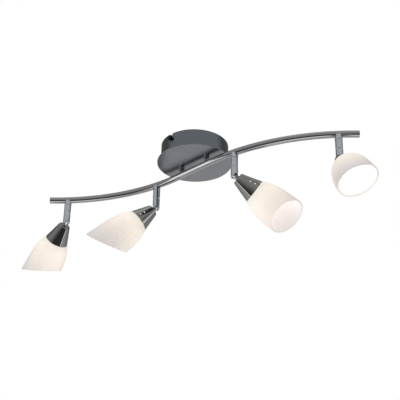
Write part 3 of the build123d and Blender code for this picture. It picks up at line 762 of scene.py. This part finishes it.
def radialCutTree():
    # cutters set round the local Z axis at one height, taken away from the piece
    tree, given = newTree("radialCuts", {
        "Material": "Material", "Count": "Int", "First Turn": "Float", "Height": "Float", "Reach": "Float",
        "Cutter Radius": "Float", "Cutter Length": "Float", "Cutter Sides": "Int"})
    circle = addNode(tree, "GeometryNodePoints", {"Count": given["Count"]}).outputs[0]
    number = addNode(tree, "GeometryNodeInputIndex").outputs[0]
    step = calc(tree, "DIVIDE", 2 * pi, given["Count"])
    turn = calc(tree, "MULTIPLY_ADD", number, step, given["First Turn"])
    across, aside = (calc(tree, "MULTIPLY", calc(tree, way, turn), given["Reach"]) for way in ("COSINE", "SINE"))
    spot = together(tree, across, aside, given["Height"])
    points = addNode(tree, "GeometryNodeSetPosition", {"Geometry": circle, "Position": spot}).outputs[0]
    cutter = addNode(tree, "GeometryNodeMeshCylinder", {
        "Vertices": given["Cutter Sides"], "Radius": given["Cutter Radius"], "Depth": given["Cutter Length"]},
        fill_type="NGON").outputs["Mesh"]
    lean = together(tree, 0.0, pi / 2, turn)
    cutters = addNode(tree, "GeometryNodeInstanceOnPoints", {
        "Points": points, "Instance": cutter, "Rotation": lean}).outputs[0]
    cutters = addNode(tree, "GeometryNodeRealizeInstances", {"Geometry": cutters}).outputs[0]
    taken = addNode(tree, "GeometryNodeMeshBoolean", operation="DIFFERENCE", solver="EXACT")
    tree.links.new(given["Geometry"], taken.inputs["Mesh 1"])
    tree.links.new(cutters, taken.inputs["Mesh 2"])
    return closeTree(tree, taken.outputs["Mesh"], given)


radialCuts = radialCutTree()


def makeKnuckle(k, lamp):
    half = tongue["radius"]
    outline = [(half * cos(a), half * sin(a)) for a in [pi + pi * n / 40 for n in range(41)]]
    outline += [(half, holder["start"]), (-half, holder["start"])]
    thick = tongue["thick"] / 2 * mm
    made = newObject("plate", slab(inMetres(outline), -thick, thick))
    cut(made, rod(tongue["hole"] * mm, -0.01, 0.01, (0, 1, 0)))
    soften(made, 0.3 * mm)
    start, end, wide = holder["start"], holder["start"] + tongue["shankLength"], holder["shank"]
    shank = lathe(inMetres([(0, start), (wide, start), (wide, end, 0.4), (0, end)]), 64)
    made = merged(f"knuckleTongue{k}", [takeShape(made), shank])
    place(made, lamp["head"], satinNickel, lamp["headBody"], [f"knuckle_tongue_{k}"], "satin_nickel")


def makeHolder(k, lamp):
    slope = (holder["wideRadius"] - holder["smallRadius"]) / holder["length"]
    wall = holder["wall"] * sqrt(1 + slope**2)
    floor = holder["start"] + holder["endWall"]
    end = holder["start"] + holder["length"]
    start, small, wide = holder["start"], holder["smallRadius"], holder["wideRadius"]
    hole = holder["shank"] + holder["shankGap"]
    corners = [
        (hole, start, 0.15), (small, start, holder["shoulder"]), (wide, end, 0.35), (wide - wall, end, 0.35),
        (small + slope * holder["endWall"] - wall, floor, 1.6), (hole, floor)]
    made = newObject(f"coneHolder{k}", lathe(inMetres(corners), 128, 8))
    for fraction in holder["ventFractions"]:
        runTree(made, radialCuts, {
            "Material": polishedNickel, "Count": holder["ventRows"], "First Turn": radians(holder["ventTurn"]),
            "Height": (holder["start"] + fraction * holder["length"]) * mm, "Reach": 20 * mm,
            "Cutter Radius": holder["ventRadius"] * mm, "Cutter Length": 20 * mm, "Cutter Sides": 32})
    place(made, lamp["head"], polishedNickel, lamp["headBody"], [f"cone_holder_{k}"], "polished_nickel")


def makeSocket(k, lamp):
    floor = holder["start"] + holder["endWall"]
    step = floor + socket["rearLength"]
    front = glass["neckAt"] + socket["nose"]
    recess = front - socket["recessDepth"]
    shank, bore = holder["shank"], floor + socket["rearBore"]
    rear, wide, hole = socket["rearRadius"], socket["radius"], socket["recess"]
    corners = [
        (shank, floor), (rear, floor, 0.6), (rear, step, 0.3), (wide, step, 0.8), (wide, front, 0.7),
        (hole, front, 0.5), (hole, recess, 0.3), (0, recess), (0, bore), (shank, bore)]
    made = newObject(f"lampSocket{k}", lathe(inMetres(corners), 96))
    for side in (-1, 1):
        aside = (side * socket["contactAside"] * mm, 0, 0)
        low, high = (recess - socket["contactDeep"]) * mm, (recess + 1) * mm
        cut(made, rod(socket["contactRadius"] * mm, low, high, (0, 0, 1), aside, 24))
    place(made, lamp["head"], socketCeramic, lamp["headBody"], [f"lamp_socket_{k}"], "socket_ceramic")


def makeBulb(k, lamp):
    start, end, radius = bulb["glassStart"], bulb["glassEnd"], bulb["radius"]
    corners = [(0, start), (radius, start, bulb["heel"]), (radius, end, radius * bulb["tip"]), (0, end)]
    capsule = lathe(inMetres(corners), 64, 12)
    wide, thick = bulb["pinch"][0] / 2 * mm, bulb["pinch"][1] / 2 * mm
    pinch = newObject("pinch", block((-wide, -thick, bulb["floor"] * mm), (wide, thick, (start + 1.0) * mm)))
    soften(pinch, 0.6 * mm, 3)
    low, high = (bulb["floor"] - bulb["pinLength"]) * mm, (bulb["floor"] + 0.5) * mm
    pins = [rod(bulb["pinRadius"] * mm, low, high, (0, 0, 1), (side * bulb["pinAside"] * mm, 0, 0), 24)
            for side in (-1, 1)]
    made = merged(f"bulb{k}", [capsule, takeShape(pinch), *pins])
    place(made, lamp["head"], bulbGlass, lamp["headBody"], [f"bulb_{k}"], "bulb_glass")


def makeRing(k, lamp):
    low = glass["neckAt"] + glass["wall"]
    high = low + ring["height"]
    bore, wide = socket["radius"], ring["radius"]
    corners = [(bore, low), (wide, low, 0.3), (wide, high, 0.6), (bore, high, 0.3)]
    made = newObject(f"retainingRing{k}", lathe(inMetres(corners), 96))
    runTree(made, radialCuts, {
        "Material": ringPlastic, "Count": ring["notches"], "First Turn": 0.0, "Height": (low + high) / 2 * mm,
        "Reach": (ring["radius"] + 1.0) * mm, "Cutter Radius": ring["notchRadius"] * mm,
        "Cutter Length": ring["notchLength"] * mm, "Cutter Sides": 24})
    place(made, lamp["head"], ringPlastic, lamp["headBody"], [f"retaining_ring_{k}"], "white_plastic")


def glassRadius(along, inset):
    # distance from the axis at a height above the neck, on the wall inset from outside
    lean = radians(glass["flare"])
    swell = glass["bellyRadius"] - glass["neckRadius"]
    reach = glass["bellyAt"]
    arc = (swell**2 + reach**2) / (2 * (swell * cos(lean) - reach * sin(lean)))
    centre = (glass["bellyRadius"] - arc * cos(lean), reach + arc * sin(lean))
    radius = arc - inset
    joint = (centre[0] + radius * cos(lean), centre[1] - radius * sin(lean))
    if along < joint[1]:
        return centre[0] + sqrt(radius**2 - (along - centre[1]) ** 2)
    return joint[0] + (along - joint[1]) * tan(lean)


def mouthHeight(direction, inset):
    # where the wall meets the slanted mouth on this side, found by halving
    slope = tan(radians(glass["slant"])) * cos(direction)
    low, high = 0.0, 200.0
    for _ in range(40):
        middle = (low + high) / 2
        if middle < glass["mouthAt"] + slope * glassRadius(middle, inset):
            low = middle
        else:
            high = middle
    return low


def makeGlass(k, lamp):
    # the mouth slants up towards the long side, which the CAD glass gives
    axis = lamp["axis"]
    facing = Vector()
    for polygon in frame["nodes"][f"glass_shade_{k}"].data.polygons:
        if polygon.normal.dot(axis) > 0.5:
            facing += polygon.normal * polygon.area
    across = facing - axis * facing.dot(axis)
    longSide = lamp["head"].to_3x3().inverted() @ (-across.normalized())
    longTurn = atan2(longSide.y, longSide.x)
    turns, stations, wall = glass["turns"], glass["stations"], glass["wall"]
    neckRound, floorRound, hole, edge = (glass[name] for name in ("neckRound", "floorRound", "hole", "holeEdge"))
    floorAt = wall + floorRound
    shape = bmesh.new()
    loops = []
    for n in range(turns):
        direction = 2 * pi * n / turns
        outerEnd, innerEnd = mouthHeight(direction, 0), mouthHeight(direction, wall)
        outerTip = Vector((glassRadius(outerEnd, 0), outerEnd))
        innerTip = Vector((glassRadius(innerEnd, wall), innerEnd))
        wallHalf = (outerTip - innerTip) / 2
        bulge = Vector((-wallHalf.y, wallHalf.x)).normalized() * wallHalf.length * glass["rimBulge"]
        outerRun, innerRun = outerEnd - bulge.length - neckRound, innerEnd - bulge.length - wall - floorRound
        outer = [(glassRadius(h, 0), h) for h in [
            neckRound + outerRun * s / stations for s in range(stations + 1)]]
        inner = [(glassRadius(h, wall), h) for h in [
            floorAt + innerRun * s / stations for s in range(stations, -1, -1)]]
        rimStart, rimStop = Vector(outer[-1]), Vector(inner[0])
        centre, half = (rimStart + rimStop) / 2, (rimStart - rimStop) / 2
        outwardBulge = bulge if bulge.y > 0 else -bulge
        rim = [tuple(centre + half * cos(a) + outwardBulge * sin(a)) for a in [pi * s / 12 for s in range(1, 12)]]
        neck = [(glassRadius(neckRound, 0) - neckRound * (1 - sin(a)), neckRound * (1 - cos(a)))
                for a in [pi / 2 * s / 6 for s in range(6)]]
        floor = [(glassRadius(floorAt, wall) - floorRound * (1 - cos(a)), floorAt - floorRound * sin(a))
                 for a in [pi / 2 * s / 6 for s in range(1, 7)]]
        section = [(hole, edge), (hole + edge, 0)] + neck + outer + rim + inner + floor
        section += [(hole + edge, wall), (hole, wall - edge)]
        loops.append([(radius * mm, (glass["neckAt"] + height) * mm) for radius, height in section])
        innerFrom, innerTo = len(neck + outer + rim) - 2, len(section) - 1
    rings = []
    for s in range(len(loops[0])):
        rings.append([
            shape.verts.new((loops[n][s][0] * cos(longTurn + 2 * pi * n / turns),
                             loops[n][s][0] * sin(longTurn + 2 * pi * n / turns), loops[n][s][1]))
            for n in range(turns)])
    inside = [float(innerFrom <= s <= innerTo) for s in range(len(loops[0])) for n in range(turns)]
    joinRings(shape, rings)
    made = newObject(f"glassShade{k}", shape)
    made.data.attributes.new("inside", "FLOAT", "POINT").data.foreach_set("value", inside)
    place(made, lamp["head"], opalGlass, lamp["headBody"], [f"glass_shade_{k}"], "opal_glass")


opalGlass = glowingOpal()
bulbGlass = litBulb()
makeBar()
makeCanopy()
for k, lamp in lamps.items():
    makeMount(k, lamp)
    makeStem(k, lamp)
    makeKnuckle(k, lamp)
    makeHolder(k, lamp)
    makeSocket(k, lamp)
    makeBulb(k, lamp)
    makeRing(k, lamp)
    makeGlass(k, lamp)
print("lamps made")

# the inner pieces keep their CAD meshes and get real finishes

innerFinishes = {
    "ceiling_bracket": zincSteel, "hanger_studs": zincSteel, "hanger_washers": zincSteel, "hanger_nuts": zincSteel,
    "earth_screw": brass, "terminal_screws": brass, "terminal_block": blockPlastic, "bar_leads": leadSleeve,
}
for name, material in innerFinishes.items():
    piece = frame["nodes"][name]
    piece.data.materials.clear()
    piece.data.materials.append(material)
print("inner pieces dressed")

# camera, light and floor

shot = {
    "turn": 24.99, "rise": -28.09, "roll": 1.022, "away": 1.6738, "aside": 0.01006, "lift": -0.05451, "view": 24.13,
}


def makeCamera():
    turn, rise, roll = radians(shot["turn"]), radians(shot["rise"]), radians(shot["roll"])
    back = Vector((sin(turn) * cos(rise), -cos(turn) * cos(rise), sin(rise)))
    level = Vector((cos(turn), sin(turn), 0))
    top = back.cross(level)
    right = level * cos(roll) + top * sin(roll)
    above = top * cos(roll) - level * sin(roll)
    middle = Vector((0, 0, lamps[1]["spot"].z))
    data = bpy.data.cameras.new("camera")
    data.sensor_width = 36
    data.lens = 18 / tan(radians(shot["view"]) / 2)
    data.clip_end = 50
    camera = bpy.data.objects.new("camera", data)
    turnMatrix = Matrix((right, above, back)).transposed().to_4x4()
    camera.matrix_world = Matrix.Translation(
        middle + back * shot["away"] + right * shot["aside"] + above * shot["lift"]) @ turnMatrix
    scene.collection.objects.link(camera)
    scene.camera = camera


studio = {
    "backdrop": 1.0, "strength": 2.0, "floorLevel": -3.1, "floorRadius": 3.05, "floorThick": 0.02, "floorGlow": 0.62,
    # how bright the room is at each height in degrees, on the viewer's side and on the far side
    "near": [(-90, 0.5), (-77, 1.5), (-62, 1.5), (-56, 0.06), (-30, 0.06), (-18, 0.2), (-6, 0.34), (10, 0.44),
             (28, 0.5), (50, 0.47), (66, 0.6), (80, 0.9), (90, 0.9)],
    "far": [(-90, 0.5), (-60, 0.5), (-36, 0.7), (-28, 0.78), (-12, 0.5), (5, 0.36), (20, 0.15), (48, 0.15),
            (58, 0.35), (90, 0.6)],
    "nearTurn": 25, "nearFrom": -0.3, "nearTo": 0.2,
    # two bright upright strips, one on each side
    "sides": [(-90, 0.0), (-50, 0.0), (-42, 1.9), (0, 1.7), (14, 0.0), (90, 0.0)],
    "stripAt": 0.11, "stripHalf": 0.1, "stripFull": 0.05,
    "boxes": [
        {"name": "frontBox", "turn": 10, "rise": -15, "away": 2.4, "size": (2.4, 1.6), "watts": 9},
        {"name": "leftBox", "turn": -80, "rise": 20, "away": 2.4, "size": (1.2, 1.8), "watts": 5},
        {"name": "topBox", "turn": 25, "rise": 62, "away": 2.4, "size": (2.4, 2.0), "watts": 16},
    ],
}


def heightRamp(tree, height, stops):
    greys = [((rise + 90) / 180, [level / studio["strength"]] * 3) for rise, level in stops]
    return colourRamp(tree, height, greys)


def makeStudio():
    world = bpy.data.worlds.new("studio")
    scene.world = world
    world.use_nodes = True
    tree = world.node_tree
    parts = apart(tree, addNode(tree, "ShaderNodeTexCoord").outputs["Generated"])
    height = span(tree, calc(tree, "ARCSINE", parts["Z"]), 0, 1, -pi / 2, pi / 2)
    nearTurn = radians(studio["nearTurn"])
    facing = calc(tree, "ADD", calc(tree, "MULTIPLY", parts["X"], sin(nearTurn)),
                  calc(tree, "MULTIPLY", parts["Y"], -cos(nearTurn)))
    share = addNode(tree, "ShaderNodeMapRange", {
        "Value": facing, "From Min": studio["nearFrom"], "From Max": studio["nearTo"]},
        interpolation_type="SMOOTHSTEP").outputs[0]
    far, near = heightRamp(tree, height, studio["far"]), heightRamp(tree, height, studio["near"])
    around = mixColours(tree, share, far, near)
    across = calc(tree, "DIVIDE", facing, calc(tree, "COSINE", calc(tree, "ARCSINE", parts["Z"])))
    offStrip = calc(tree, "ABSOLUTE", calc(tree, "SUBTRACT", across, studio["stripAt"]))
    strip = addNode(tree, "ShaderNodeMapRange", {
        "Value": offStrip, "From Min": studio["stripHalf"], "From Max": studio["stripFull"]},
        interpolation_type="SMOOTHSTEP").outputs[0]
    strips = mixColours(tree, strip, (0, 0, 0), heightRamp(tree, height, studio["sides"]))
    added = addNode(tree, "ShaderNodeMix", data_type="RGBA", blend_type="ADD")
    added.inputs["Factor"].default_value = 1
    for socket, colour in zip([s for s in added.inputs if s.type == "RGBA"], (around, strips)):
        tree.links.new(colour, socket)
    around = [s for s in added.outputs if s.type == "RGBA"][0]
    direct = addNode(tree, "ShaderNodeLightPath").outputs["Is Camera Ray"]
    white = studio["backdrop"] / studio["strength"]
    tree.links.new(mixColours(tree, direct, around, (white, white, white)), tree.nodes["Background"].inputs["Color"])
    tree.nodes["Background"].inputs["Strength"].default_value = studio["strength"]
    for box in studio["boxes"]:
        turn, rise = radians(box["turn"]), radians(box["rise"])
        back = Vector((sin(turn) * cos(rise), -cos(turn) * cos(rise), sin(rise)))
        data = bpy.data.lights.new(box["name"], "AREA")
        data.shape = "RECTANGLE"
        data.size, data.size_y = box["size"]
        data.energy = box["watts"]
        light = bpy.data.objects.new(box["name"], data)
        light.matrix_world = Matrix.Translation(Vector((0, 0, -0.08)) + back * box["away"]) @ \
            back.to_track_quat("Z", "Y").to_matrix().to_4x4()
        light.visible_camera = False
        light.visible_glossy = False
        scene.collection.objects.link(light)
    level, reach = studio["floorLevel"], studio["floorRadius"]
    under = level - studio["floorThick"]
    floor = newObject("floor", lathe([(0, under), (reach, under), (reach, level), (0, level)], 96))
    material, tree, shader = newMaterial("paleFloor")
    shader.inputs["Base Color"].default_value = (0.9, 0.9, 0.9, 1)
    shader.inputs["Roughness"].default_value = 0.8
    shader.inputs["Emission Color"].default_value = (1, 1, 1, 1)
    shader.inputs["Emission Strength"].default_value = studio["floorGlow"]
    material.cycles.emission_sampling = "NONE"  # the glow is wide and even, so it needs no sampling of its own
    floor.data.materials.append(material)
    floor.visible_glossy = False
    scene.view_settings.view_transform = "Standard"


makeCamera()
makeStudio()
print("camera and studio made")
